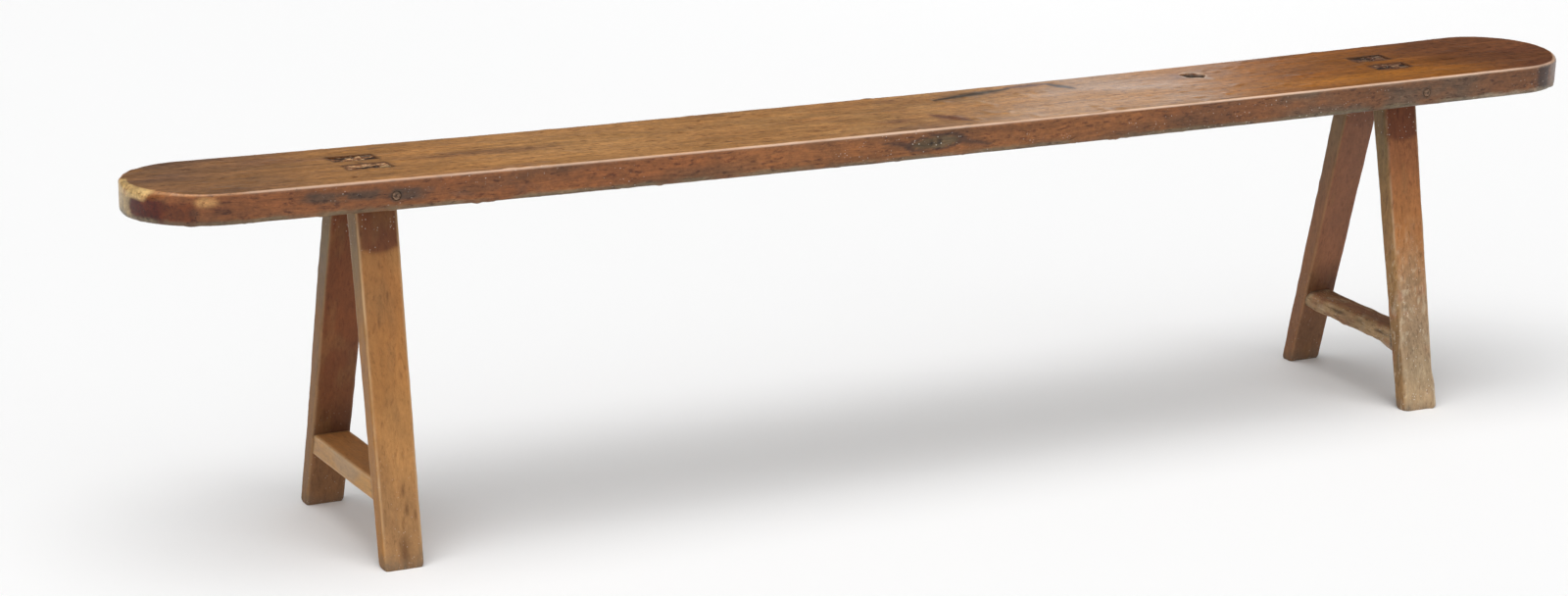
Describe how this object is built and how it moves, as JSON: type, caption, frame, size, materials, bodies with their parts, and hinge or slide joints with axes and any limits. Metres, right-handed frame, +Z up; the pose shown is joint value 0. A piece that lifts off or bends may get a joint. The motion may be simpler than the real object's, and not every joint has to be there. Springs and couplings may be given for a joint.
{
  "type": "sawhorse bench",
  "caption": "Long low wooden bench built like a sawhorse: a thick round-ended plank on two splayed trestles with through-tenoned legs and low stretchers.",
  "frame": {"origin": "on the floor, under the middle of the bench's box", "axes": "+X along the plank from its left end to its right end, +Y from the near edge to the far edge, +Z up"},
  "size_m": [2.031, 0.3138, 0.462],
  "materials": {
    "plank": "worn, hand-polished",
    "leg": "worn, dull",
    "stretcher": "worn, foot-scuffed",
    "wedge": "end grain",
    "peg": "end grain"
  },
  "bodies": {
    "root": {"seat_plank": "plank", "left_near_leg": "leg", "left_far_leg": "leg", "right_near_leg": "leg", "right_far_leg": "leg", "left_stretcher": "stretcher", "right_stretcher": "stretcher", "left_near_wedge": "wedge", "left_far_wedge": "wedge", "right_near_wedge": "wedge", "right_far_wedge": "wedge", "left_near_peg": "peg", "left_far_peg": "peg", "right_near_peg": "peg", "right_far_peg": "peg"}
  },
  "joints": []
}
